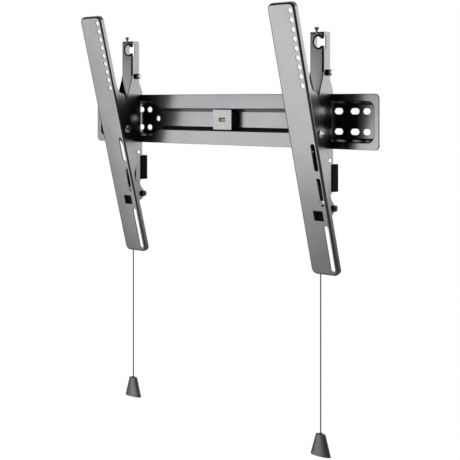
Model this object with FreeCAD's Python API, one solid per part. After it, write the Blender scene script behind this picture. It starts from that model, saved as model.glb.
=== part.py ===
import FreeCAD, Part
import math
import os

# Tilting wall bracket for a flat display, in millimetres.
# X runs along the wall plate, Y points into the wall and Z points up.
# The origin is the centre of the wall plate, on the wall plane, so the room side has negative Y.

V = FreeCAD.Vector

# Wall plate, one pressed steel sheet
plate_length = 660.0
plate_height = 89.0
plate_depth = 16.0
plate_sheet = 2.0
plate_corner = 8.0
plate_edge_round = 1.0
channel_half_height = 13.3
channel_half_length = 159.0
channel_corner = 12.0
pocket_start = 182.0
pocket_half_height = 26.8
pocket_rim = 16.0
pocket_corner = 6.0
wall_lean = 5.7
press_round = 2.4
slot_row = 16.5
slot_width = 10.0
slot_places = (198.0, 220.0, 242.0, 274.0, 297.0)
slot_lengths = (13.0, 14.0, 17.0, 17.5, 14.5)
hole_place = 175.0

# Spirit level in the middle of the plate
level_width = 43.0
level_rim_height = 34.6
level_rim = 1.0
level_round = 1.2
level_clearance = 0.15
window_width = 15.3
window_height = 6.7
vial_diameter = 8.0
vial_length = 24.0
vial_setback = 1.6

# Arms, the same on both sides
arm_places = {"left": -221.0, "right": 225.0}
tilt = 15.0
pivot_from_wall = 61.0
pivot_height = -19.0

# Display strip, a shallow pressed pan with two wings for the pivot
strip_width = 54.2
strip_shift = -1.5
strip_length = 450.0
strip_above_pivot = 214.5
strip_face_to_pivot = 14.6
strip_depth = 9.5
strip_sheet = 2.0
strip_corner = 10.0
strip_fold = 3.8
wing_outline = (
    (128.0, 9.5, 0.0),
    (143.0, 11.5, 8.0),
    (151.0, 23.6, 8.0),
    (197.0, 26.8, 30.0),
    (243.0, 20.2, 25.0),
    (256.0, 23.4, 12.0),
    (277.0, 23.2, 14.0),
    (300.0, 9.5, 0.0),
)
hole_column = 16.7
hole_first = 12.8
hole_pitch = 15.0
hole_count = 9
hole_diameter = 8.8
strip_slot_width = 8.5
square_hole_sides = (2.0, 15.0)
square_hole_top = 339.0
square_hole_height = 17.0
square_hole_foot = square_hole_top + square_hole_height
long_slot_start = square_hole_foot + 8.0
strip_slots = ((227.0, 272.5), (284.0, 331.0), (long_slot_start, 442.0))
clip_clearance = 0.15
clip_recess = 1.4
clip_lip = 1.2
clip_depth = 2.6
clip_nub = 4.0
notch_width = 14.0

# Pivot
pivot_diameter = 8.0
rivet_head = 13.0
rivet_rise = 2.4
bush_diameter = 15.0
washer_diameter = 19.0
washer_thickness = 1.2
running_clearance = 0.05

# Hook bracket, the folded outer channel
bracket_width = 28.0
bracket_sheet = 2.0
bracket_fold = 3.0
fold_bottom = 79.0
web_front = -39.0
web_bottom = -48.0
bracket_top = 144.0
bracket_knee = (74.0, 25.0)
bracket_hip = (-50.0, 41.0, 50.0)
bracket_brow = (-66.0, 5.0, 30.0)
bracket_chin = (-43.0, -39.0, 12.0)
bracket_throat = ((-36.0, -51.0, 30.0), (-31.0, -66.0, 30.0))
bracket_foot_top = -80.0
upper_rear = -21.0
upper_step = (60.0, 66.0)
plate_gap = 1.0
shoulder_rear = -13.0
shoulder_top = -46.0
bracket_bottom = -118.0
boss_radius = 10.5
port_diameter = 20.0
port_height = 127.0
port_neck = 11.4
port_slot_height = 21.0
port_slot_front = -36.6
port_slot_rear = -31.6
lug_neck = 3.5
lug_head = 7.9
lug_head_height = 4.0
lug_height = 7.5

# Hook plate, the folded inner piece above
inner_half = 11.7
inner_sheet = 2.0
seat_gap = 0.1
sheet_gap = 0.4
hook_tip = 37.0
hook_tip_width = 3.0
hook_top = 95.0
hook_bottom = 28.0
hook_heel = 50.0
hook_calf = (-15.2, 60.5, 8.0)
hook_waist = (-20.0, 70.0, 8.0)
hook_web_inset = (8.0, 4.0)

# Cross bolts and nuts
bolt_diameter = 6.0
bolt_clearance = 0.1
bolt_head_diameter = 10.5
bolt_head_height = 3.2
nut_across_flats = 10.0
nut_height = 5.0
bolt_tip = 1.6
upper_bolt_place = (-26.8, 78.5)
lower_bolt_place = (-9.0, -141.0)
tube_diameter = 10.0

# Latch, the folded inner piece below
latch_front = -28.5
latch_top = -46.0
latch_web_top = -50.0
latch_web_bottom = -128.0
latch_back = -20.0
latch_step = -59.5
nose_top = -38.5
nose_width = 3.0
latch_waist = ((-113.0, 3.0), (-17.0, -118.0, 5.0))
latch_knee = (-14.5, -127.0, 8.0)
latch_heel = -14.0
latch_toe = -21.5
latch_bottom = -153.0
lobe_radius = 6.0
window_half = 4.0
window_top = -68.0
tab_height = -104.0
tab_width = 6.0
latch_travel = 9.0
pin_diameter = 4.0
pin_head = 6.4
pin_rise = 1.2
pin_place = (-23.4, -63.0)
pin_clearance = 0.1

# Latch spring
spring_wire = 0.8
spring_radius = 2.3
spring_pitch = 3.6
spring_turns = 8

# Wall pad
pad_top = -69.5
pad_bottom = -114.0
pad_front = -17.0
pad_width = 31.0
pad_tongue = 2.5
tongue_bottom = -109.5
pad_corner = 2.0

# Pull cords, straight down beside the bracket
cord_diameter = 2.0
cord_side = -14.3
cord_top = -148.0
tag_thickness = 1.4
tag_radius = 5.5
crimp_diameter = 4.4
crimp_top = -146.8
crimp_bottom = -155.0
pull_tops = {"left": -490.0, "right": -509.0}
pull_height = 37.0
pull_top_size = (18.5, 9.5)
pull_bottom_size = (41.0, 14.0)
pull_round = 1.0
collar_diameter = 5.4
collar_height = 1.5
pull_bore = 7.0
pull_roof = 5.0
bead_diameter = 5.0
bead_length = 4.0


def box(x0, x1, y0, y1, z0, z1):
    """Solid box between two corners."""
    return Part.makeBox(x1 - x0, y1 - y0, z1 - z0, V(x0, y0, z0))


def rod(diameter, start, end):
    """Solid cylinder from one point to another."""
    run = V(*end) - V(*start)
    return Part.makeCylinder(diameter / 2, run.Length, V(*start), run)


def rounded_wire(corners, place):
    """Closed outline whose corners (u, v, radius) are rounded by tangent arcs."""
    count = len(corners)
    starts = []
    ends = []
    middles = []
    for i in range(count):
        u, v, radius = corners[i]
        here = V(u, v, 0)
        back = (V(corners[i - 1][0], corners[i - 1][1], 0) - here).normalize()
        following = corners[(i + 1) % count]
        ahead = (V(following[0], following[1], 0) - here).normalize()
        half = back.getAngle(ahead) / 2
        trim = radius / math.tan(half)
        bisector = (back + ahead).normalize()
        starts.append(here + back * trim)
        ends.append(here + ahead * trim)
        middles.append(here + bisector * (radius / math.sin(half) - radius))
    edges = []
    for i in range(count):
        a = place(starts[i])
        b = place(ends[i])
        if corners[i][2] > 0:
            edges.append(Part.Arc(a, place(middles[i]), b).toShape())
        c = place(starts[(i + 1) % count])
        if b.distanceToPoint(c) > 1e-6:
            edges.append(Part.LineSegment(b, c).toShape())
    return Part.Wire(edges)


def side_plate(corners, x0, x1):
    """Sheet cut to an outline in Y and Z, from x0 to x1."""
    wire = rounded_wire(corners, lambda p: V(x0, p.x, p.y))
    return Part.Face(wire).extrude(V(x1 - x0, 0, 0))


def front_sheet(corners, y0, y1):
    """Sheet cut to an outline in X and Z, from y0 to y1."""
    wire = rounded_wire(corners, lambda p: V(p.x, y0, p.y))
    return Part.Face(wire).extrude(V(0, y1 - y0, 0))


def side_pair(corners, outer, sheet):
    """Two equal side sheets at plus and minus the outer distance."""
    return [
        side_plate(corners, outer - sheet, outer),
        side_plate(corners, -outer, sheet - outer),
    ]


def oblong(x, z, length, width, y0, y1, upright=False):
    """Slot-shaped block with round ends."""
    half = (length - width) / 2
    step = V(0, 0, half) if upright else V(half, 0, 0)
    centre = V(x, y0, z)
    depth = y1 - y0
    ends = [Part.makeCylinder(width / 2, depth, centre + step * s, V(0, 1, 0)) for s in (-1, 1)]
    if upright:
        middle = box(x - width / 2, x + width / 2, y0, y1, z - half, z + half)
    else:
        middle = box(x - half, x + half, y0, y1, z - width / 2, z + width / 2)
    return ends[0].fuse([ends[1], middle])


def rectangle(width, height, radius, x=0.0, z=0.0):
    """Corners of an upright rectangle with rounded corners."""
    signs = ((-1, -1), (1, -1), (1, 1), (-1, 1))
    return [(x + sx * width / 2, z + sz * height / 2, radius) for sx, sz in signs]


def edges_at(shape, y):
    """Edges that lie wholly in one plane of constant Y."""
    found = []
    for edge in shape.Edges:
        limits = edge.BoundBox
        if abs(limits.YMin - y) < 1e-4 and abs(limits.YMax - y) < 1e-4:
            found.append(edge)
    return found


def edges_across(shape, x):
    """Edges that lie wholly in one plane of constant X."""
    found = []
    for edge in shape.Edges:
        limits = edge.BoundBox
        if abs(limits.XMin - x) < 1e-4 and abs(limits.XMax - x) < 1e-4:
            found.append(edge)
    return found


def joined(shapes):
    """One solid without needless seams."""
    return shapes[0].fuse(shapes[1:]).removeSplitter()


def tangent_point(point, centre, radius, turn):
    """Point where a line from a point touches a circle, on the side given by turn."""
    dy = centre[0] - point[0]
    dz = centre[1] - point[1]
    distance = math.hypot(dy, dz)
    angle = math.atan2(dz, dy) + turn * math.asin(radius / distance)
    reach = math.sqrt(distance ** 2 - radius ** 2)
    return (point[0] + reach * math.cos(angle), point[1] + reach * math.sin(angle), 0.0)


def recess_outline(grow):
    """Floor of the channel with a higher pocket at each end, grown outwards by one distance."""
    low = channel_half_height + grow
    high = pocket_half_height + grow
    end = plate_length / 2 - pocket_rim + grow
    slope = math.atan2(pocket_half_height - channel_half_height, pocket_start - channel_half_length)
    shift = grow * math.tan(slope / 2)
    inner = channel_half_length - shift
    outer = pocket_start - shift
    right = [
        (inner, -low, channel_corner),
        (outer, -high, channel_corner),
        (end, -high, pocket_corner + grow),
        (end, high, pocket_corner + grow),
        (outer, high, channel_corner),
        (inner, low, channel_corner),
    ]
    left = [(-x, -z, r) for x, z, r in right]
    return right + left


def recess_block(front, rear, grow):
    """Block that fills the recess between two depths, its walls leaning outwards to the front."""
    lean = wall_lean / (plate_depth - plate_sheet)
    wires = []
    for y in (rear, front):
        corners = recess_outline(grow + lean * (-plate_sheet - y))
        wires.append(rounded_wire(corners, lambda p: V(p.x, y, p.y)))
    return Part.makeLoft(wires, True, True)


def recess_mouth(shape):
    """Edges round the mouth of the recess, on the plate's front."""
    found = []
    reach = plate_length / 2 - pocket_rim + wall_lean + 0.01
    height = pocket_half_height + wall_lean + 0.01
    for edge in edges_at(shape, -plate_depth):
        limits = edge.BoundBox
        wide = max(abs(limits.XMin), abs(limits.XMax)) < reach
        high = max(abs(limits.ZMin), abs(limits.ZMax)) < height
        if wide and high:
            found.append(edge)
    return found


def wall_plate():
    """Pressed plate: flat flange all round, recess that lies on the wall, slotted holes."""
    flange_rear = plate_sheet - plate_depth
    flange = front_sheet(rectangle(plate_length, plate_height, plate_corner), -plate_depth, flange_rear)
    flange = flange.makeFillet(plate_edge_round, edges_at(flange, -plate_depth))
    wall_sheet = plate_sheet * math.hypot(1, wall_lean / (plate_depth - plate_sheet))
    tray = recess_block(flange_rear - plate_sheet / 2, 0, wall_sheet)
    hollow = recess_block(-plate_depth - 1, -plate_sheet, 0)
    plate = joined([flange, tray]).cut(hollow)
    plate = plate.makeFillet(press_round, recess_mouth(plate))
    cuts = []
    for side in (-1, 1):
        x = side * hole_place
        cuts.append(rod(slot_width, (x, -plate_depth, 0), (x, 1, 0)))
        for row in (-slot_row, slot_row):
            for place, length in zip(slot_places, slot_lengths):
                cuts.append(oblong(side * place, row, length, slot_width, -plate_depth, 1))
    return plate.cut(cuts)


vial_centre = -plate_depth - level_rim + vial_setback + vial_diameter / 2


def level_window():
    """Waste of the window in front of the vial."""
    outline = rectangle(window_width, window_height, level_round)
    return front_sheet(outline, -plate_depth - 2 * level_rim, vial_centre)


def level_body():
    """Moulded block in the plate's channel, with a window and a bed for the vial."""
    half = level_width / 2
    low = channel_half_height - level_clearance
    block = box(-half, half, -plate_depth, -plate_sheet, -low, low)
    end = vial_length / 2
    bed = rod(vial_diameter, (-end, vial_centre, 0), (end, vial_centre, 0))
    return block.cut([bed, level_window()])


def level_face():
    """Thin cover on the block, a little higher than the channel."""
    rim = rectangle(level_width, level_rim_height, level_round)
    face = front_sheet(rim, -plate_depth - level_rim, -plate_depth)
    return face.cut(level_window())


def level_vial():
    """Sealed tube of liquid."""
    end = vial_length / 2
    return rod(vial_diameter, (-end, vial_centre, 0), (end, vial_centre, 0))


# The display strip is drawn upright with the pivot at the origin and is then tilted.

strip_front = -strip_face_to_pivot
strip_back = strip_front + strip_depth
strip_middle = strip_above_pivot - strip_length / 2
strip_foot = strip_above_pivot - strip_length


def tilted(shape):
    """Turn a piece of the display strip about the pivot and carry it to its place."""
    turned = shape.copy()
    turned.rotate(V(0, 0, 0), V(1, 0, 0), tilt)
    turned.translate(V(0, -pivot_from_wall, pivot_height))
    return turned


def display_strip():
    """Shallow pan with rounded folds, two wings for the pivot, round holes and slots."""
    outline = rectangle(strip_width, strip_length, strip_corner, strip_shift, strip_middle)
    pan = front_sheet(outline, strip_front, strip_back)
    pan = pan.makeFillet(strip_fold, edges_at(pan, strip_front))
    inner_width = strip_width - 2 * strip_sheet
    inner_length = strip_length - 2 * strip_sheet
    inner = rectangle(inner_width, inner_length, strip_corner - strip_sheet, strip_shift, strip_middle)
    inner_front = strip_front + strip_sheet
    hollow = front_sheet(inner, inner_front, strip_back + 1)
    hollow = hollow.makeFillet(strip_fold - strip_sheet, edges_at(hollow, inner_front))
    half = strip_width / 2
    wing = [(strip_front + n, strip_above_pivot - s, r) for s, n, r in wing_outline]
    root = strip_back - strip_sheet
    wing = [(root, wing[0][1], 0.0)] + wing + [(root, wing[-1][1], 0.0)]
    wings = side_pair(wing, half, strip_sheet)
    for piece in wings:
        piece.translate(V(strip_shift, 0, 0))
    strip = joined([pan.cut(hollow)] + wings)
    cuts = [rod(pivot_diameter + 2 * running_clearance, (-strip_width, 0, 0), (strip_width, 0, 0))]
    front = strip_front - 1
    back = inner_front + 1
    for i in range(hole_count):
        z = strip_above_pivot - hole_first - i * hole_pitch
        cuts.append(rod(hole_diameter, (hole_column, front, z), (hole_column, back, z)))
    for top, bottom in strip_slots:
        z = strip_above_pivot - (top + bottom) / 2
        cuts.append(oblong(hole_column, z, bottom - top, strip_slot_width, front, back, True))
    left, right = square_hole_sides
    top = strip_above_pivot - square_hole_top
    bottom = strip_above_pivot - square_hole_foot
    cuts.append(box(left, right, front, back, bottom, top))
    notch_left = cord_side - notch_width / 2
    notch_front = inner_front + strip_fold - strip_sheet
    notch_low = strip_foot - 1
    notch_high = strip_foot + strip_fold
    cuts.append(box(notch_left, notch_left + notch_width, notch_front, strip_back + 1, notch_low, notch_high))
    return tilted(strip.cut(cuts))


def cord_clip():
    """Black clip pressed into the strip's square hole, with a small nub on its face."""
    left, right = square_hole_sides
    top = strip_above_pivot - square_hole_top
    bottom = strip_above_pivot - square_hole_foot
    c = clip_clearance
    inside = strip_front + strip_sheet
    face = strip_front + clip_recess
    rear = inside + clip_depth
    stem = box(left + c, right - c, face, inside, bottom + c, top - c)
    lip = box(left - clip_lip, right + clip_lip, inside, rear, bottom - clip_lip, top + clip_lip)
    nub_x = right - c - clip_nub
    nub_z = top - c - clip_nub
    nub = box(nub_x, nub_x + clip_nub - 1, face - clip_recess / 2, inside, nub_z, nub_z + clip_nub - 1)
    return tilted(joined([stem, lip, nub]))


bracket_half = bracket_width / 2


def wing_place(side, inwards):
    """X at a distance inwards from the outer face of the strip's wing on one side."""
    return strip_shift + side * (strip_width / 2 - inwards)


def pivot_ring(diameter, start, end):
    """Ring round a pivot rivet between two places along X."""
    a = (start, -pivot_from_wall, pivot_height)
    b = (end, -pivot_from_wall, pivot_height)
    return rod(diameter, a, b).cut(rod(pivot_diameter, a, b))


def pivot_bushes():
    """Tubes that keep the strip's wings clear of the bracket."""
    inwards = strip_sheet + running_clearance + washer_thickness
    rings = [pivot_ring(bush_diameter, s * bracket_half, wing_place(s, inwards)) for s in (-1, 1)]
    return Part.makeCompound(rings)


def friction_washers():
    """Washers that rub on the inside of the strip's wings."""
    rings = []
    for side in (-1, 1):
        outside = wing_place(side, strip_sheet + running_clearance)
        rings.append(pivot_ring(washer_diameter, outside - side * washer_thickness, outside))
    return Part.makeCompound(rings)


def domed_head(diameter, rise, x, side, y, z):
    """Low round head whose flat side is at x and whose dome points to one side."""
    head = rod(diameter, (x, y, z), (x + side * rise, y, z))
    return head.makeFillet(rise * 0.7, edges_across(head, x + side * rise))


def pivot_rivets():
    """Bright rivets that hold wing, washer, bush and bracket together."""
    y = -pivot_from_wall
    z = pivot_height
    inside = bracket_half - bracket_sheet
    tail_end = inside - rivet_rise / 2
    tail_diameter = (pivot_diameter + rivet_head) / 2
    rivets = []
    for side in (-1, 1):
        outside = wing_place(side, -running_clearance)
        shank = rod(pivot_diameter, (side * inside, y, z), (outside, y, z))
        tail = rod(tail_diameter, (side * tail_end, y, z), (side * inside, y, z))
        head = domed_head(rivet_head, rivet_rise, outside, side, y, z)
        rivets.append(joined([shank, tail, head]))
    return Part.makeCompound(rivets)


pivot_place = (-pivot_from_wall, pivot_height)


def bracket_outline():
    """Outline of a side of the hook bracket, as (y, z, corner radius)."""
    plate_side = -plate_depth - plate_gap
    step_low, step_high = upper_step
    return [
        (web_front, bracket_top, 1.0),
        (web_front, *bracket_knee),
        bracket_hip,
        bracket_brow,
        tangent_point(bracket_brow, pivot_place, boss_radius, -1),
        tangent_point(bracket_chin, pivot_place, boss_radius, 1),
        bracket_chin,
        *bracket_throat,
        (latch_front, bracket_foot_top, 30.0),
        (latch_front, bracket_bottom, 4.0),
        (pad_front, bracket_bottom, 2.0),
        (pad_front, pad_top, 0.0),
        (shoulder_rear, pad_top, 0.0),
        (shoulder_rear, shoulder_top, 1.5),
        (plate_side, shoulder_top, 1.0),
        (plate_side, step_low, 6.0),
        (upper_rear, step_high, 6.0),
        (upper_rear, bracket_top, 3.0),
    ]


def cross_hole(place, diameter):
    """Bore through both sides of the bracket."""
    y, z = place
    return rod(diameter, (-bracket_width, y, z), (bracket_width, y, z))


def fold_waste(side):
    """Waste outside the rounded fold between the web and one side."""
    r = bracket_fold
    near = side * (bracket_half - r)
    far = side * bracket_half
    low = fold_bottom
    high = bracket_top + 1
    corner = box(min(near, far), max(near, far), web_front, web_front + r, low, high)
    return corner.cut(rod(2 * r, (near, web_front + r, low), (near, web_front + r, high)))


def top_fold_waste():
    """Waste outside the rounded fold between the web and the closed top."""
    r = bracket_fold
    h = bracket_half
    low = bracket_top - r
    corner = box(-h, h, web_front, web_front + r, low, bracket_top + 1)
    return corner.cut(rod(2 * r, (-h, web_front + r, low), (h, web_front + r, low)))


def hook_bracket():
    """Folded channel: web, two long sides with pivot bosses, closed top, port and lug."""
    t = bracket_sheet
    h = bracket_half
    sides = side_pair(bracket_outline(), h, t)
    y, z = pivot_place
    bosses = [rod(2 * boss_radius, (s * (h - t), y, z), (s * h, y, z)) for s in (-1, 1)]
    web = box(t - h, h - t, web_front, web_front + t, web_bottom, bracket_top)
    cap = box(t - h, h - t, web_front, upper_rear - t, bracket_top - t, bracket_top)
    body = joined([web] + sides + bosses + [cap])
    body = body.cut([fold_waste(s) for s in (-1, 1)] + [top_fold_waste()])
    head_middle = bracket_top + lug_height - lug_head_height / 2
    neck_low = bracket_top - bracket_fold
    neck = box(-lug_neck / 2, lug_neck / 2, web_front, web_front + t, neck_low, head_middle)
    head_shape = rectangle(lug_head, lug_head_height, lug_head_height * 0.4, 0, head_middle)
    head = front_sheet(head_shape, web_front, web_front + t)
    body = body.fuse([neck, head])
    neck_half = port_neck / 2
    slot_half = port_slot_height / 2
    outside = web_front - 1
    neck_end = h + 1
    cuts = [
        rod(port_diameter, (0, outside, port_height), (0, port_slot_rear, port_height)),
        box(0, neck_end, outside, port_slot_rear, port_height - neck_half, port_height + neck_half),
        box(h - t, neck_end, port_slot_front, port_slot_rear, port_height - slot_half, port_height + slot_half),
        cross_hole(upper_bolt_place, bolt_diameter + 2 * bolt_clearance),
        cross_hole(pivot_place, pivot_diameter),
        cross_hole(pin_place, pin_diameter),
    ]
    return body.cut(cuts)


def hook_plate():
    """Folded inner piece whose two hooks hang over the top edge of the wall plate."""
    t = inner_sheet
    front = web_front + bracket_sheet
    flange_front = -plate_depth - sheet_gap
    flange_rear = plate_sheet - plate_depth + sheet_gap
    seat = plate_height / 2 + seat_gap
    tip_rear = flange_rear + hook_tip_width
    outline = [
        (front, hook_bottom, 4.0),
        (flange_front, hook_bottom, 3.0),
        (flange_front, seat, 0.8),
        (flange_rear, seat, 0.8),
        (flange_rear, hook_tip, 0.8),
        (tip_rear, hook_tip, 1.4),
        (tip_rear, hook_heel, 6.0),
        hook_calf,
        hook_waist,
        (upper_rear, hook_top, 4.0),
        (front, hook_top, 2.0),
    ]
    low, high = hook_web_inset
    web = box(-inner_half, inner_half, front, front + t, hook_bottom + low, hook_top - high)
    hook = joined([web] + side_pair(outline, inner_half, t))
    return hook.cut(cross_hole(upper_bolt_place, bolt_diameter + 2 * bolt_clearance))


def cross_bolt(place, left, right):
    """Bolt along X, its head against the left face and its thread past the right face."""
    y, z = place
    head = domed_head(bolt_head_diameter, bolt_head_height, left, -1, y, z)
    end = right + nut_height + bolt_tip
    shank = rod(bolt_diameter, (left, y, z), (end, y, z))
    shank = shank.makeChamfer(bolt_tip / 2, edges_across(shank, end))
    return joined([head, shank])


def cross_nut(place, right):
    """Hexagon nut with chamfered corners against the right face."""
    y, z = place
    reach = nut_across_flats / math.sqrt(3)
    corners = []
    for i in range(6):
        angle = math.radians(60 * i + 30)
        corners.append((y + reach * math.sin(angle), z + reach * math.cos(angle), 0.0))
    nut = side_plate(corners, right, right + nut_height)
    barrel = rod(2 * reach, (right, y, z), (right + nut_height, y, z))
    barrel = barrel.makeChamfer(0.8, edges_across(barrel, right + nut_height))
    bore = rod(bolt_diameter, (right - 1, y, z), (right + nut_height + 1, y, z))
    return nut.common(barrel).cut(bore)


def latch_outline():
    """Outline of a side of the latch, as (y, z, corner radius)."""
    nose_front = plate_sheet - plate_depth + sheet_gap
    nose_rear = nose_front + nose_width
    knee = latch_knee
    heel = (latch_heel, latch_bottom, 3.0)
    waist_top, waist_rear = latch_waist
    return [
        (latch_front, latch_top, 5.0),
        (nose_front, latch_top, 0.8),
        (nose_front, nose_top, 0.8),
        (nose_rear, nose_top, 1.2),
        (nose_rear, latch_step, 3.0),
        (latch_back, latch_step, 1.0),
        (latch_back, *waist_top),
        waist_rear,
        knee,
        tangent_point(knee, lower_bolt_place, lobe_radius, 1),
        tangent_point(heel, lower_bolt_place, lobe_radius, -1),
        heel,
        (latch_toe, latch_bottom, 3.0),
        (latch_front, latch_web_bottom, 8.0),
    ]


def latch():
    """Folded catch: noses behind the plate's lower edge, slots for the pin, tab and lobes."""
    t = inner_sheet
    rear = latch_front + t
    web = box(-inner_half, inner_half, latch_front, rear, latch_web_bottom, latch_web_top)
    y, z = lower_bolt_place
    inside = inner_half - t
    lobes = [rod(2 * lobe_radius, (s * inside, y, z), (s * inner_half, y, z)) for s in (-1, 1)]
    body = joined([web] + side_pair(latch_outline(), inner_half, t) + lobes)
    window = box(-window_half, window_half, latch_front - 1, rear + 1, tab_height, window_top)
    radius = pin_diameter / 2 + pin_clearance
    slot_y, slot_low = pin_place
    slot_high = slot_low + latch_travel
    slot = [
        cross_hole(pin_place, 2 * radius),
        cross_hole((slot_y, slot_high), 2 * radius),
        box(-bracket_width, bracket_width, slot_y - radius, slot_y + radius, slot_low, slot_high),
    ]
    bore = cross_hole(lower_bolt_place, bolt_diameter + 2 * bolt_clearance)
    tab_end = slot_y + spring_radius + spring_wire
    tab = box(-tab_width / 2, tab_width / 2, latch_front, tab_end, tab_height - t, tab_height)
    return body.cut([window, bore] + slot).fuse(tab)


def lower_tube():
    """Distance tube between the latch's lobes."""
    y, z = lower_bolt_place
    end = inner_half - inner_sheet
    tube = rod(tube_diameter, (-end, y, z), (end, y, z))
    return tube.cut(rod(bolt_diameter + 2 * bolt_clearance, (-end, y, z), (end, y, z)))


def latch_pin():
    """Bright rivet across the bracket, on which the latch slides and the spring hangs."""
    y, z = pin_place
    shank = rod(pin_diameter, (-bracket_half, y, z), (bracket_half, y, z))
    heads = [domed_head(pin_head, pin_rise, s * bracket_half, s, y, z) for s in (-1, 1)]
    return joined([shank] + heads)


def latch_spring():
    """Tension spring from the pin down to the latch's tab."""
    y, z = pin_place
    loop = pin_diameter / 2 + spring_wire / 2
    height = spring_pitch * spring_turns
    middle = (z - loop + tab_height) / 2
    top = middle + height / 2
    low = middle - height / 2
    helix = Part.makeHelix(spring_pitch, height, spring_radius)
    section = Part.Wire(Part.makeCircle(spring_wire / 2, V(spring_radius, 0, 0), V(0, 1, 0)))
    coil = Part.Wire(helix.Edges).makePipeShell([section], True, True)
    coil.translate(V(0, y, low))
    eye = Part.makeTorus(loop, spring_wire / 2, V(0, y, z), V(1, 0, 0))
    links = [
        rod(spring_wire, (0, y, z - loop), (0, y, top)),
        rod(spring_wire, (-spring_wire / 2, y, top), (spring_radius, y, top)),
        rod(spring_wire, (-spring_wire / 2, y, low), (spring_radius, y, low)),
        rod(spring_wire, (0, y, tab_height), (0, y, low)),
    ]
    return coil.fuse([eye] + links)


def wall_pad():
    """Block that fills the bracket's sides below the plate and rests on the wall."""
    h = pad_width / 2
    block = box(-h, h, pad_front, 0, pad_bottom, pad_top)
    upright = []
    for edge in block.Edges:
        limits = edge.BoundBox
        if limits.ZLength > 1 and abs(limits.YMin) < 1e-4:
            upright.append(edge)
    block = block.makeFillet(pad_corner, upright)
    inside = bracket_half - bracket_sheet
    tongue = box(-inside, inside, pad_front - pad_tongue, pad_front, tongue_bottom, pad_top)
    return joined([block, tongue])


# Pull cord, with its eyelet on the latch's lower bolt

cord_y = lower_bolt_place[0]


def cord_eyelet():
    """Flat tag on the lower bolt with a crimped sleeve for the cord."""
    y, z = lower_bolt_place
    outside = -inner_half
    tag = rod(2 * tag_radius, (outside - tag_thickness, y, z), (outside, y, z))
    strap_low = crimp_top - 2
    strap = box(outside - tag_thickness, outside, y - 2, y + 2, strap_low, z)
    sleeve = rod(crimp_diameter, (cord_side, y, crimp_bottom), (cord_side, y, crimp_top))
    body = joined([tag, strap, sleeve])
    return body.cut([
        rod(bolt_diameter + 2 * bolt_clearance, (outside - 2, y, z), (outside + 1, y, z)),
        rod(cord_diameter, (cord_side, y, crimp_bottom - 1), (cord_side, y, cord_top)),
    ])


def oval(size, z):
    """Oval outline at one height."""
    ellipse = Part.Ellipse(V(cord_side, cord_y, z), size[0] / 2, size[1] / 2)
    return Part.Wire(ellipse.toShape())


def level_rims(shape):
    """Edges that lie wholly at one height."""
    return [edge for edge in shape.Edges if edge.BoundBox.ZLength < 1e-4]


def cord_pull(side):
    """Flared oval handle with a collar on top and a blind bore for the cord's end."""
    top = pull_tops[side]
    shoulder = top - collar_height
    bottom = top - pull_height
    body = Part.makeLoft([oval(pull_bottom_size, bottom), oval(pull_top_size, shoulder)], True, True)
    body = body.makeFillet(pull_round, level_rims(body))
    collar = rod(collar_diameter, (cord_side, cord_y, shoulder - 1), (cord_side, cord_y, top))
    roof = top - pull_roof
    bore = rod(pull_bore, (cord_side, cord_y, bottom - 1), (cord_side, cord_y, roof))
    eye = rod(cord_diameter, (cord_side, cord_y, roof - 1), (cord_side, cord_y, top + 1))
    return joined([body, collar]).cut([bore, eye])


def pull_cord(side):
    """Cord from the eyelet straight down through the roof of the pull."""
    end = pull_tops[side] - pull_roof
    print(side, "cord length", round(cord_top - end, 1), "straight, no bends")
    return rod(cord_diameter, (cord_side, cord_y, end), (cord_side, cord_y, cord_top))


def cord_bead(side):
    """Crimped bead at the end of the cord, under the roof of the pull."""
    end = pull_tops[side] - pull_roof
    bead = rod(bead_diameter, (cord_side, cord_y, end - bead_length), (cord_side, cord_y, end))
    return bead.makeFillet(bead_length * 0.3, level_rims(bead))


def arm_pieces(side):
    """All the pieces of one arm, about its own middle plane."""
    tag_face = -inner_half - tag_thickness
    return {
        "display_strip": display_strip(),
        "cord_clip": cord_clip(),
        "hook_bracket": hook_bracket(),
        "hook_plate": hook_plate(),
        "upper_bolt": cross_bolt(upper_bolt_place, -bracket_half, bracket_half),
        "upper_nut": cross_nut(upper_bolt_place, bracket_half),
        "pivot_rivets": pivot_rivets(),
        "pivot_bushes": pivot_bushes(),
        "friction_washers": friction_washers(),
        "wall_pad": wall_pad(),
        "latch_pin": latch_pin(),
        "latch_spring": latch_spring(),
        "latch": latch(),
        "lower_bolt": cross_bolt(lower_bolt_place, tag_face, inner_half),
        "lower_nut": cross_nut(lower_bolt_place, inner_half),
        "lower_tube": lower_tube(),
        "cord_eyelet": cord_eyelet(),
        "pull_cord": pull_cord(side),
        "cord_bead": cord_bead(side),
        "cord_pull": cord_pull(side),
    }


def main():
    nodes = {
        "wall_plate": wall_plate(),
        "level_body": level_body(),
        "level_face": level_face(),
        "level_vial": level_vial(),
    }
    for side, x in arm_places.items():
        for name, shape in arm_pieces(side).items():
            shape.translate(V(x, 0, 0))
            nodes[side + "_" + name] = shape
    os.makedirs("parts", exist_ok=True)
    for name, shape in nodes.items():
        if not shape.isValid() or not shape.Solids:
            print("check this node:", name)
        if len(shape.Solids) > 1:
            print(name, "has", len(shape.Solids), "solids")
        shape.exportStep("parts/" + name + ".step")
    print(len(nodes), "nodes written")


main()
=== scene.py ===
import math

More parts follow.
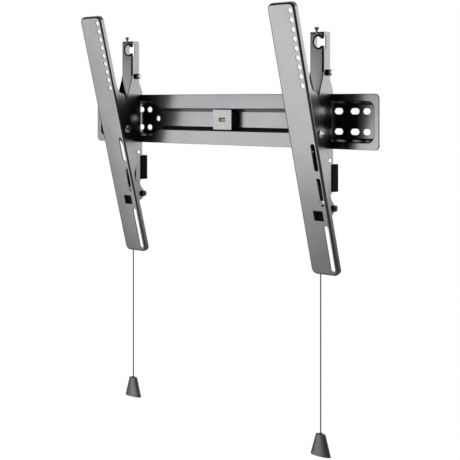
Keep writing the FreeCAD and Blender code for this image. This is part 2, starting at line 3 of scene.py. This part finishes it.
import bpy
import numpy as np
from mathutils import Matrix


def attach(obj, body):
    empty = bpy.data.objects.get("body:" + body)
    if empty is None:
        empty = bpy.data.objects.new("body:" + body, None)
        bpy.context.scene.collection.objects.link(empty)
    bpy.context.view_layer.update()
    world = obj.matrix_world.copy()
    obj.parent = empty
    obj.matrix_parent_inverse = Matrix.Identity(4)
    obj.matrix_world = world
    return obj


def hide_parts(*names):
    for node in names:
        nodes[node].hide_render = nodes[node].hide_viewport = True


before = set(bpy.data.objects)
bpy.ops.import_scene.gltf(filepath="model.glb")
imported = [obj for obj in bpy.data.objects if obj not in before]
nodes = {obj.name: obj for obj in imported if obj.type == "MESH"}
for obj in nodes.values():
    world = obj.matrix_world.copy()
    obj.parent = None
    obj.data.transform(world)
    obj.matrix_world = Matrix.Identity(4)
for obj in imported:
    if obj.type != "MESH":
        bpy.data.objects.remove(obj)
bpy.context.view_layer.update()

# the part's sizes are millimetres unless mm stands beside them; the camera's, lamps' and floor's are metres
mm = 0.001
armMiddle = {"left": -221.0, "right": 225.0}


def toLinear(hexColour):
    # sRGB to linear: c/12.92 below 0.04045, else ((c + 0.055) / 1.055) ^ 2.4
    values = []
    for i in (1, 3, 5):
        c = int(hexColour[i:i + 2], 16) / 255
        values.append(c / 12.92 if c <= 0.04045 else ((c + 0.055) / 1.055) ** 2.4)
    return (*values, 1.0)


def addNode(tree, kind, settings=None, inputs=None):
    # one node with its settings, and its inputs set to values or linked to sockets
    node = tree.nodes.new(kind)
    for name, value in (settings or {}).items():
        setattr(node, name, value)
    for key, value in (inputs or {}).items():
        if isinstance(value, bpy.types.NodeSocket):
            tree.links.new(value, node.inputs[key])
        else:
            node.inputs[key].default_value = value
    return node


def newMaterial(name):
    # an empty material with a Principled shader linked to its output
    material = bpy.data.materials.new(name)
    material.use_nodes = True
    tree = material.node_tree
    tree.nodes.clear()
    shader = addNode(tree, "ShaderNodeBsdfPrincipled")
    addNode(tree, "ShaderNodeOutputMaterial", inputs={"Surface": shader.outputs[0]})
    return material, shader


def objectPlace(tree):
    # the object's own coordinates, in metres
    return addNode(tree, "ShaderNodeTexCoord").outputs["Object"]


def noise(tree, size, detail):
    # noise in the object's coordinates, with features of about a size in millimetres
    return addNode(tree, "ShaderNodeTexNoise", inputs={
        "Vector": objectPlace(tree), "Scale": 1 / (size * mm), "Detail": detail}).outputs["Fac"]


def rampColour(tree, shader, factor, stops):
    # base colour from a factor through a ramp of (place, hex) stops
    ramp = addNode(tree, "ShaderNodeValToRGB", inputs={"Fac": factor})
    first, last = stops[0], stops[-1]
    ramp.color_ramp.elements[0].position = first[0]
    ramp.color_ramp.elements[0].color = toLinear(first[1])
    ramp.color_ramp.elements[1].position = last[0]
    ramp.color_ramp.elements[1].color = toLinear(last[1])
    for place, colour in stops[1:-1]:
        ramp.color_ramp.elements.new(place).color = toLinear(colour)
    tree.links.new(ramp.outputs["Color"], shader.inputs["Base Color"])


def cloudColour(tree, shader, factor, look):
    # from dark to light over the range where most values of a noise lie
    lowNoise, highNoise = 0.3, 0.7
    rampColour(tree, shader, factor, ((lowNoise, look["dark"]), (highNoise, look["light"])))


def remap(tree, value, low, high):
    # 0..1 to low..high
    return addNode(tree, "ShaderNodeMapRange", inputs={
        "Value": value, "To Min": low, "To Max": high}).outputs[0]


def unevenShine(tree, shader, factor, look):
    # roughness that a noise moves by its spread, up and down
    rough = remap(tree, factor, look["rough"] - look["roughSpread"], look["rough"] + look["roughSpread"])
    tree.links.new(rough, shader.inputs["Roughness"])


def relief(tree, shader, height, look):
    # fine relief of the surface, and edges that look rounded where the look has an edge radius
    inputs = {"Strength": look["relief"], "Distance": look["reliefDepth"] * mm, "Height": height}
    if "edge" in look:
        rounded = addNode(tree, "ShaderNodeBevel", {"samples": 6}, {"Radius": look["edge"] * mm})
        inputs["Normal"] = rounded.outputs[0]
    bump = addNode(tree, "ShaderNodeBump", inputs=inputs)
    tree.links.new(bump.outputs[0], shader.inputs["Normal"])


print("materials")


def powderCoat(name, look):
    # powder-coated steel, baked: a fine orange peel, a slightly metallic black and rounded edges
    material, shader = newMaterial(name)
    tree = material.node_tree
    cloudColour(tree, shader, noise(tree, look["cloudSize"], detail=3.0), look)
    unevenShine(tree, shader, noise(tree, look["grainSize"], detail=1.0), look)
    relief(tree, shader, noise(tree, look["peelSize"], detail=2.0), look)
    shader.inputs["Metallic"].default_value = look["metallic"]
    shader.inputs["IOR"].default_value = look["ior"]
    shader.inputs["Coat Weight"].default_value = look["coat"]
    shader.inputs["Coat Roughness"].default_value = look["coatRough"]
    return material


def mouldedPlastic(name, look):
    # injection-moulded plastic: a spark-eroded grain and a soft broad highlight
    material, shader = newMaterial(name)
    tree = material.node_tree
    cloudColour(tree, shader, noise(tree, look["cloudSize"], detail=2.0), look)
    grain = noise(tree, look["grainSize"], detail=2.0)
    unevenShine(tree, shader, grain, look)
    relief(tree, shader, grain, look)
    shader.inputs["IOR"].default_value = look["ior"]
    shader.inputs["Specular IOR Level"].default_value = look["specular"]
    return material


def platedMetal(name, look):
    # zinc-plated or oiled steel: bright metal with fine turning marks and faint spangle
    material, shader = newMaterial(name)
    tree = material.node_tree
    spangle = addNode(tree, "ShaderNodeTexVoronoi", inputs={
        "Vector": objectPlace(tree), "Scale": 1 / (look["spangleSize"] * mm)})
    rampColour(tree, shader, spangle.outputs["Color"], ((0.0, look["dark"]), (1.0, look["light"])))
    marks = noise(tree, look["markSize"], detail=3.0)
    unevenShine(tree, shader, marks, look)
    relief(tree, shader, marks, look)
    shader.inputs["Metallic"].default_value = 1.0
    return material


def paintedShadeAbove(material, topShade):
    # painted shade: above a height, in the object's frame, the paint turns a flat, less metallic near-black
    # that stands for the shade along the bracket's top edge
    tree = material.node_tree
    shader = next(node for node in tree.nodes if node.type == "BSDF_PRINCIPLED")
    parts = addNode(tree, "ShaderNodeSeparateXYZ", inputs={"Vector": objectPlace(tree)})
    above = addNode(tree, "ShaderNodeMapRange", inputs={
        "Value": parts.outputs["Z"], "From Min": topShade["height"] * mm,
        "From Max": (topShade["height"] + topShade["blend"]) * mm}).outputs[0]
    paintColour = shader.inputs["Base Color"].links[0].from_socket
    mixed = addNode(tree, "ShaderNodeMix", {"data_type": "RGBA"},
                    {0: above, 6: paintColour, 7: toLinear(topShade["colour"])})
    tree.links.new(mixed.outputs[2], shader.inputs["Base Color"])
    shine = remap(tree, above, shader.inputs["Metallic"].default_value, topShade["metallic"])
    tree.links.new(shine, shader.inputs["Metallic"])


paint = {"dark": "#58585a", "light": "#5f5f61", "cloudSize": 60, "rough": 0.27, "roughSpread": 0.04,
         "grainSize": 0.5, "relief": 0.12, "reliefDepth": 0.05, "peelSize": 1.1, "edge": 0.35,
         "metallic": 0.92, "ior": 1.5, "coat": 0.3, "coatRough": 0.16}
platePaint = powderCoat("powderCoatedPlate", paint)
stripPaint = powderCoat("powderCoatedStrip", paint)
bracketPaint = powderCoat("powderCoatedBracket", {**paint, "dark": "#545456", "light": "#5b5b5d"})
# painted shade: the bracket's paint turns near-black above 144.6 mm, standing in for the shade along its top
# edge
paintedShadeAbove(bracketPaint, {"height": 144.6, "blend": 0.4, "colour": "#101011", "metallic": 0.1})
blackSteel = powderCoat("blackenedSteel", {
    **paint, "dark": "#1b1b1c", "light": "#242426", "rough": 0.34, "peelSize": 0.5, "metallic": 0.5,
    "coat": 0.1})

plastic = {"cloudSize": 14, "roughSpread": 0.06, "grainSize": 0.35, "relief": 0.15, "reliefDepth": 0.04,
           "ior": 1.49, "specular": 0.5}
paleAbs = mouldedPlastic("paleMouldedAbs", {
    **plastic, "dark": "#c4c4c4", "light": "#cececd", "rough": 0.42, "edge": 0.25})
blackAbs = mouldedPlastic("blackMouldedAbs", {
    **plastic, "dark": "#363637", "light": "#3c3c3d", "rough": 0.38, "edge": 0.2})
blackNylon = mouldedPlastic("blackMouldedNylon", {
    **plastic, "dark": "#070708", "light": "#0d0d0e", "cloudSize": 12, "rough": 0.55, "grainSize": 0.4,
    "relief": 0.25, "edge": 0.4, "specular": 0.02})
greyNylon = mouldedPlastic("darkGreyMouldedNylon", {
    **plastic, "dark": "#414141", "light": "#484848", "cloudSize": 16, "rough": 0.4, "grainSize": 0.45,
    "relief": 0.3, "edge": 0.5})

metal = {"roughSpread": 0.08, "reliefDepth": 0.02}
brightZinc = platedMetal("brightZincPlate", {
    **metal, "dark": "#b9bcbe", "light": "#d3d5d6", "spangleSize": 1.3, "rough": 0.3, "markSize": 0.4,
    "relief": 0.2})
drawnWire = platedMetal("drawnSpringWire", {
    **metal, "dark": "#8c8d8e", "light": "#a6a7a8", "spangleSize": 0.8, "rough": 0.34, "markSize": 0.25,
    "relief": 0.3})


def vialLiquid(look):
    # dyed spirit behind clear acrylic: green with a painted highlight along the tube's middle, darkening
    # from there to its upper and lower edge
    material, shader = newMaterial("greenSpiritPaintedHighlight")
    tree = material.node_tree
    parts = addNode(tree, "ShaderNodeSeparateXYZ", inputs={"Vector": objectPlace(tree)})
    away = addNode(tree, "ShaderNodeMath", {"operation": "ABSOLUTE"}, {0: parts.outputs["Z"]})
    across = addNode(tree, "ShaderNodeMapRange", inputs={
        "Value": away.outputs[0], "From Max": look["radius"] * mm})
    # painted highlight: the ramp is lightest at the tube's middle
    rampColour(tree, shader, across.outputs[0], look["stops"])
    shader.inputs["Roughness"].default_value = look["rough"]
    shader.inputs["IOR"].default_value = look["ior"]
    shader.inputs["Coat Weight"].default_value = look["coat"]
    return material


vial = {"axisY": -11.4, "radius": 4}
# the lightest stop, at the vial's middle, is a painted highlight
greenSpiritPaintedHighlight = vialLiquid({"radius": vial["radius"], "rough": 0.08, "ior": 1.47, "coat": 0.6,
                          "stops": ((0.0, "#8fb487"), (0.35, "#5d8a58"), (1.0, "#213a24"))})

finishes = {
    "wall_plate": platePaint, "level_body": blackAbs, "level_face": paleAbs, "level_vial": greenSpiritPaintedHighlight,
    "display_strip": stripPaint, "cord_clip": blackNylon, "hook_bracket": bracketPaint,
    "hook_plate": bracketPaint, "upper_bolt": blackSteel, "upper_nut": blackSteel,
    "pivot_rivets": brightZinc, "pivot_bushes": blackSteel, "friction_washers": blackNylon,
    "wall_pad": blackNylon, "latch": bracketPaint, "latch_pin": brightZinc, "latch_spring": drawnWire,
    "lower_bolt": blackSteel, "lower_nut": blackSteel, "lower_tube": blackSteel, "cord_eyelet": drawnWire,
    "pull_cord": greyNylon, "cord_bead": blackNylon, "cord_pull": greyNylon,
}
for name, thing in nodes.items():
    kind = name.split("_", 1)[1] if name.startswith(("left_", "right_")) else name
    thing.data.materials.clear()
    thing.data.materials.append(finishes[kind])


def newPiece(name, points, faces, material, smooth):
    # an object at the origin, from points in metres and faces, with one material
    mesh = bpy.data.meshes.new(name)
    mesh.from_pydata(points.tolist(), [], faces)
    mesh.polygons.foreach_set("use_smooth", np.full(len(mesh.polygons), smooth))
    mesh.materials.append(material)
    piece = bpy.data.objects.new(name, mesh)
    bpy.context.collection.objects.link(piece)
    return piece


def ringedPiece(name, rings, material, smooth=True):
    # closed piece from rings of points (row, column, xyz), each end closed to a point at its middle
    rows, columns = rings.shape[:2]
    points = np.concatenate([rings.reshape(-1, 3), rings[0].mean(0)[None], rings[-1].mean(0)[None]])
    column = np.arange(columns)
    beside = (column + 1) % columns
    row = np.arange(rows - 1)[:, None] * columns
    ahead = row + columns
    quads = np.stack([row + column, row + beside, ahead + beside, ahead + column], axis=-1)
    low, high = rows * columns, rows * columns + 1
    last = (rows - 1) * columns
    fans = np.concatenate([np.stack([beside, column, np.full(columns, low)], axis=1),
                           np.stack([last + column, last + beside, np.full(columns, high)], axis=1)])
    return newPiece(name, points, quads.reshape(-1, 4).tolist() + fans.tolist(), material, smooth)


def flatBox(name, front, rear, material):
    # closed box between four front corners, counterclockwise seen from the front, and the same four behind
    faces = [(0, 1, 2, 3), (7, 6, 5, 4), (0, 4, 5, 1), (1, 5, 6, 2), (2, 6, 7, 3), (3, 7, 4, 0)]
    return newPiece(name, np.concatenate([front, rear]) * mm, faces, material, smooth=False)


print("cords")


def routeLine(points):
    # the smooth line of a NURBS route through its control points, as an array of points
    curve = bpy.data.curves.new("route", "CURVE")
    curve.dimensions = "3D"
    spline = curve.splines.new("NURBS")
    spline.points.add(len(points) - 1)
    for place, point in zip(spline.points, points):
        place.co = (*point, 1)
    spline.order_u = 3
    spline.use_endpoint_u = True
    spline.resolution_u = 32
    holder = bpy.data.objects.new("route", curve)
    bpy.context.collection.objects.link(holder)
    graph = bpy.context.evaluated_depsgraph_get()
    mesh = bpy.data.meshes.new_from_object(holder.evaluated_get(graph))
    line = np.empty(len(mesh.vertices) * 3)
    mesh.vertices.foreach_get("co", line)
    bpy.data.meshes.remove(mesh)
    bpy.data.objects.remove(holder)
    bpy.data.curves.remove(curve)
    return line.reshape(-1, 3)


def evenly(line, step):
    # the same line with points at an even spacing, and how far along it each point lies
    run = np.concatenate([[0], np.cumsum(np.linalg.norm(np.diff(line, axis=0), axis=1))])
    places = np.linspace(0, run[-1], max(2, int(round(run[-1] / step))))
    return np.stack([np.interp(places, run, line[:, i]) for i in range(3)], axis=1), places


def braidedCloth(look):
    # polyester braid: dark dyed yarn, rough and with hardly a highlight
    material, shader = newMaterial("darkPolyesterBraid")
    tree = material.node_tree
    cloudColour(tree, shader, noise(tree, look["fleckSize"], detail=3.0), look)
    shader.inputs["Roughness"].default_value = look["rough"]
    shader.inputs["Specular IOR Level"].default_value = look["specular"]
    return material


braid = {"strands": 8, "pitch": 7 * mm, "relief": 0.07 * mm, "step": 0.42 * mm, "around": 32}
cord = {"y": -9 * mm, "top": -148 * mm, "radius": 1 * mm, "belowEyelet": 12 * mm, "abovePull": 17 * mm}
cords = {"left": {"x": -235.3 * mm, "end": -495 * mm}, "right": {"x": 210.7 * mm, "end": -514 * mm}}
braidMaterial = braidedCloth({
    "dark": "#1c1c1d", "light": "#2a2a2b", "fleckSize": 0.6, "rough": 0.8, "specular": 0.1})


def braidedCord(side):
    # round cord along its route; the surface is the radius less a relief of two crossing helices
    x, end = cords[side]["x"], cords[side]["end"]
    heights = (cord["top"], cord["top"] - cord["belowEyelet"], end + cord["abovePull"], end)
    path = routeLine([(x, cord["y"], z) for z in heights])
    line, run = evenly(path, braid["step"])
    angle = np.linspace(0, 2 * np.pi, braid["around"], endpoint=False)
    turn = run[:, None] * 2 * np.pi / braid["pitch"]
    half = braid["strands"] / 2
    weave = np.cos(half * (angle + turn)) * np.cos(half * (angle - turn))
    radius = cord["radius"] - braid["relief"] * (0.5 - 0.5 * weave)
    offset = np.stack([radius * np.cos(angle), radius * np.sin(angle), np.zeros_like(radius)], axis=-1)
    rings = (line[:, None, :] + offset)[::-1]
    piece = ringedPiece(side + "BraidedCord", rings, braidMaterial)
    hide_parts(side + "_pull_cord")
    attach(piece, side + "_catch")


for side in cords:
    braidedCord(side)

print("level")


def flatInk(name, hexColour, rough):
    # screen ink or the mark of a stamp: one flat colour
    material, shader = newMaterial(name)
    shader.inputs["Base Color"].default_value = toLinear(hexColour)
    shader.inputs["Roughness"].default_value = rough
    return material


blackInk = flatInk("blackInk", "#161a16", rough=0.4)
stampedMark = flatInk("stampedMark", "#4a4a4c", rough=0.5)

vialLine = {"side": 3.4, "halfWidth": 0.28, "rise": 0.05, "around": 64, "section": 12}


def vialRing(name, middle):
    # thin ring round the vial: a flat oval section, set half into the vial, turned about the vial's axis
    rows, columns = vialLine["around"], vialLine["section"]
    angle = np.linspace(0, 2 * np.pi, rows, endpoint=False)[:, None]
    around = np.linspace(0, 2 * np.pi, columns, endpoint=False)
    radius = vial["radius"] + vialLine["rise"] + vialLine["rise"] * np.sin(around)
    along = middle + vialLine["halfWidth"] * np.cos(around)
    rings = np.stack([np.broadcast_to(along, (rows, columns)), vial["axisY"] + np.cos(angle) * radius,
                      np.sin(angle) * radius], axis=-1) * mm
    column = np.arange(columns)
    beside = (column + 1) % columns
    row = np.arange(rows)[:, None] * columns
    ahead = (row + columns) % (rows * columns)
    quads = np.stack([row + beside, ahead + beside, ahead + column, row + column], axis=-1)
    piece = newPiece(name, rings.reshape(-1, 3), quads.reshape(-1, 4).tolist(), blackInk, smooth=True)
    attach(piece, "wall")


vialRing("leftVialLine", -vialLine["side"])
vialRing("rightVialLine", vialLine["side"])

marks = {"heights": (34.0, 28.5, 23.5), "width": 0.8, "tall": 2.4, "front": -16.0, "depth": 0.08}


def centreMark(number, height):
    # faint upright mark on the plate's front, as far into the sheet as it stands out
    w, t = marks["width"] / 2, marks["tall"] / 2
    outline = [(-w, height - t), (w, height - t), (w, height + t), (-w, height + t)]
    front = np.array([(x, marks["front"] - marks["depth"], z) for x, z in outline])
    rear = front + (0, 2 * marks["depth"], 0)
    piece = flatBox("centreMark%d" % number, front, rear, stampedMark)
    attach(piece, "wall")


for number, height in enumerate(marks["heights"], 1):
    centreMark(number, height)

print("ports")

port = {"shift": 4.6, "radius": 9.2, "outer": 11.5, "half": 1.5, "lip": 0.6, "front": -39.0, "sheet": 0.15,
        "height": 127.6, "from": 50, "to": 310, "along": 80, "section": 16}


def portCollar(side, middle):
    # thin sheet round the port: straight lines from the port's circle out to a larger circle, an arc that
    # stops at the side slot, front and rear faces two half thicknesses apart
    arc = np.radians(np.linspace(port["from"], port["to"], port["along"]))[:, None]
    share = np.array([0, 1, 1, 0])[None, :]
    depth = np.array([port["front"] - port["sheet"]] * 2 + [port["front"] + port["sheet"]] * 2)
    inner = np.stack([port["shift"] + port["radius"] * np.cos(arc), port["radius"] * np.sin(arc)])
    outer = np.stack([port["outer"] * np.cos(arc), port["outer"] * np.sin(arc)])
    flat = inner * (1 - share) + outer * share
    across, upward = middle + flat[0], port["height"] + flat[1]
    rings = np.stack([across, np.broadcast_to(depth, across.shape), upward], axis=-1)
    piece = ringedPiece(side + "PortCollar", rings * mm, bracketPaint, smooth=False)
    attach(piece, side + "_arm")


def portRim(side, middle):
    # black moulded rim of the round port: a lip of oval section along an arc that stops at the side slot
    arc = np.radians(np.linspace(port["from"], port["to"], port["along"]))[:, None]
    around = np.linspace(0, 2 * np.pi, port["section"], endpoint=False)
    radius = port["radius"] + port["half"] + port["half"] * np.cos(around)
    depth = port["front"] - port["lip"] * np.sin(around)
    across, upward = middle + port["shift"] + radius * np.cos(arc), port["height"] + radius * np.sin(arc)
    rings = np.stack([across, np.broadcast_to(depth, across.shape), upward], axis=-1)
    piece = ringedPiece(side + "PortRim", rings[::-1] * mm, blackNylon)
    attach(piece, side + "_arm")


for side, middle in armMiddle.items():
    portCollar(side, middle)
    portRim(side, middle)

print("clips")

clip = {"tilt": 15, "axisY": -61.0, "axisZ": -19.0, "front": -14.6, "proud": 0.25, "sunk": 0.2,
        "stripTop": 214.5, "left": -4.2, "right": 2.2, "top": 339.0, "bottom": 356.0}


def leaningPoint(x, down, behind):
    # a point of the strip: down from its top and behind the tilt's axis, or before it where negative, then
    # turned about that axis by the tilt
    lean = math.radians(clip["tilt"])
    up = clip["stripTop"] - down
    return (x, clip["axisY"] + behind * math.cos(lean) - up * math.sin(lean),
            clip["axisZ"] + up * math.cos(lean) + behind * math.sin(lean))


def clipFace(side, middle):
    # moulded flange of the clip beside the square hole: a thin box on the leaning front of the strip
    outline = [(clip["left"], clip["bottom"]), (clip["right"], clip["bottom"]),
               (clip["right"], clip["top"]), (clip["left"], clip["top"])]
    front = [leaningPoint(middle + x, down, clip["front"] - clip["proud"]) for x, down in outline]
    rear = [leaningPoint(middle + x, down, clip["front"] + clip["sunk"]) for x, down in outline]
    piece = flatBox(side + "ClipFace", front, rear, blackNylon)
    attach(piece, side + "_display")


for side, middle in armMiddle.items():
    clipFace(side, middle)

print("bright ends")

dome = {"sunk": 0.05 * mm, "rows": 8, "around": 32}
rivetHead = {"name": "RivetHead", "node": "_pivot_rivets", "grow": 0.1 * mm, "height": 0.9 * mm}
boltEnd = {"name": "BoltEnd", "node": "_upper_bolt", "grow": 0.0, "height": 0.3 * mm}


def domedEnd(side, end, material):
    # domed cap on the +X end of a node: quarter ellipse turned about X, from the end face outwards
    mesh = nodes[side + end["node"]].data
    points = np.empty(len(mesh.vertices) * 3)
    mesh.vertices.foreach_get("co", points)
    points = points.reshape(-1, 3)
    tip = points[points[:, 0] > points[:, 0].max() - dome["sunk"]]
    low, high = tip.min(0), tip.max(0)
    middle, radius = (low + high) / 2, (high[2] - low[2]) / 2 + end["grow"]
    angle = np.linspace(0, 2 * np.pi, dome["around"], endpoint=False)[None, :]
    rise = np.linspace(0, np.pi / 2, dome["rows"] + 1)[:-1, None]
    along = high[0] - dome["sunk"] + end["height"] * np.sin(rise)
    across = middle[1] + radius * np.cos(rise) * np.cos(angle)
    upward = middle[2] + radius * np.cos(rise) * np.sin(angle)
    rings = np.stack([np.broadcast_to(along, across.shape), across, upward], axis=-1)
    piece = ringedPiece(side + end["name"], rings, material)
    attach(piece, side + "_arm")


for side in armMiddle:
    domedEnd(side, rivetHead, brightZinc)
    domedEnd(side, boltEnd, drawnWire)

print("camera")

camera = {"place": (1.3266, -1.4696, 0.0347), "azimuth": 42.0, "lens": 87.83, "sensor": 36,
          "shiftY": -0.2829, "farthest": 50}
eye = bpy.data.objects.new("photoCamera", bpy.data.cameras.new("photoCamera"))
bpy.context.collection.objects.link(eye)
eye.location = camera["place"]
eye.rotation_euler = (math.pi / 2, 0, math.radians(camera["azimuth"]))
eye.data.lens = camera["lens"]
eye.data.sensor_width = camera["sensor"]
eye.data.shift_y = camera["shiftY"]
eye.data.clip_end = camera["farthest"]
bpy.context.scene.camera = eye
bpy.context.scene.view_settings.view_transform = "Standard"

print("light")

keyLamp = {"radiance": 4.7, "away": 1.7, "side": 0.28, "size": (1.41, 1.23), "height": -0.45,
           "mirrored": (-0.67, -0.74), "beside": (0.74, -0.67)}
backLamp = {"radiance": 3.5, "place": (1.9, 1.7, 0.53), "target": (0.1, 0, 0.53), "size": (2.6, 1.74)}


def softbox(name, place, target, size, radiance):
    # a rectangular lamp at place that faces target, its power pi times area times radiance
    lamp = bpy.data.objects.new(name, bpy.data.lights.new(name, "AREA"))
    bpy.context.collection.objects.link(lamp)
    lamp.data.shape = "RECTANGLE"
    lamp.data.size, lamp.data.size_y = size
    lamp.data.energy = math.pi * size[0] * size[1] * radiance
    aim = np.array(target) - np.array(place)
    lamp.location = place
    turn = math.atan2(aim[1], aim[0]) - math.pi / 2
    dip = math.atan2(aim[2], math.hypot(aim[0], aim[1]))
    lamp.rotation_euler = (math.pi / 2 + dip, 0, turn)


# the key stands along the camera's look as the plate mirrors it, and a little to the side of that line
keyTarget = np.array(keyLamp["beside"]) * keyLamp["side"]
keyPlace = np.array(keyLamp["mirrored"]) * keyLamp["away"] + keyTarget
softbox("keySoftbox", (*keyPlace, keyLamp["height"]), (*keyTarget, keyLamp["height"]), keyLamp["size"],
        keyLamp["radiance"])
softbox("backSoftbox", backLamp["place"], backLamp["target"], backLamp["size"], backLamp["radiance"])

sky = {"front": 0.012, "fill": 0.1, "turnFrom": -0.1, "turnTo": 0.35}


def mathNode(tree, operation, first, second):
    # one maths node over two values or sockets
    return addNode(tree, "ShaderNodeMath", {"operation": operation}, {0: first, 1: second}).outputs[0]


def paleStudio():
    # white to the camera; to reflections white behind the object and dark in front; a weak fill to the rest
    world = bpy.data.worlds.new("paleStudio")
    world.use_nodes = True
    bpy.context.scene.world = world
    tree = world.node_tree
    tree.nodes.clear()
    ray = addNode(tree, "ShaderNodeLightPath").outputs
    way = addNode(tree, "ShaderNodeTexCoord").outputs["Generated"]
    wayParts = addNode(tree, "ShaderNodeSeparateXYZ", inputs={"Vector": way})
    behind = addNode(tree, "ShaderNodeMapRange", {"interpolation_type": "SMOOTHSTEP"}, {
        "Value": wayParts.outputs["Y"], "From Min": sky["turnFrom"], "From Max": sky["turnTo"],
        "To Min": sky["front"], "To Max": 1.0})
    seen = mathNode(tree, "MAXIMUM", ray["Is Camera Ray"], ray["Is Transmission Ray"])
    glossy = mathNode(tree, "MULTIPLY", behind.outputs[0], ray["Is Glossy Ray"])
    lit = mathNode(tree, "MAXIMUM", ray["Is Diffuse Ray"], ray["Is Shadow Ray"])
    fill = mathNode(tree, "MULTIPLY", lit, sky["fill"])
    total = mathNode(tree, "MAXIMUM", mathNode(tree, "MAXIMUM", seen, glossy), fill)
    backdrop = addNode(tree, "ShaderNodeBackground", inputs={"Color": (1, 1, 1, 1), "Strength": total})
    addNode(tree, "ShaderNodeOutputWorld", inputs={"Surface": backdrop.outputs[0]})


paleStudio()

print("floor")

ground = {"half": 12.0, "height": -1.1, "matt": (0.8, 0.8, 0.8, 1)}


def paleFloor():
    # white to the camera, matt pale grey to everything else
    material = bpy.data.materials.new("paleFloor")
    material.use_nodes = True
    tree = material.node_tree
    tree.nodes.clear()
    ray = addNode(tree, "ShaderNodeLightPath")
    matt = addNode(tree, "ShaderNodeBsdfDiffuse", inputs={"Color": ground["matt"]})
    white = addNode(tree, "ShaderNodeEmission", inputs={"Color": (1, 1, 1, 1), "Strength": 1.0})
    mixed = addNode(tree, "ShaderNodeMixShader", inputs={
        0: ray.outputs["Is Camera Ray"], 1: matt.outputs[0], 2: white.outputs[0]})
    addNode(tree, "ShaderNodeOutputMaterial", inputs={"Surface": mixed.outputs[0]})
    return material


square = np.array([(-1, -1, 0), (1, -1, 0), (1, 1, 0), (-1, 1, 0)])
corners = square * ground["half"] + (0, 0, ground["height"])
floor = newPiece("studioFloor", corners, [(0, 1, 2, 3)], paleFloor(), smooth=False)
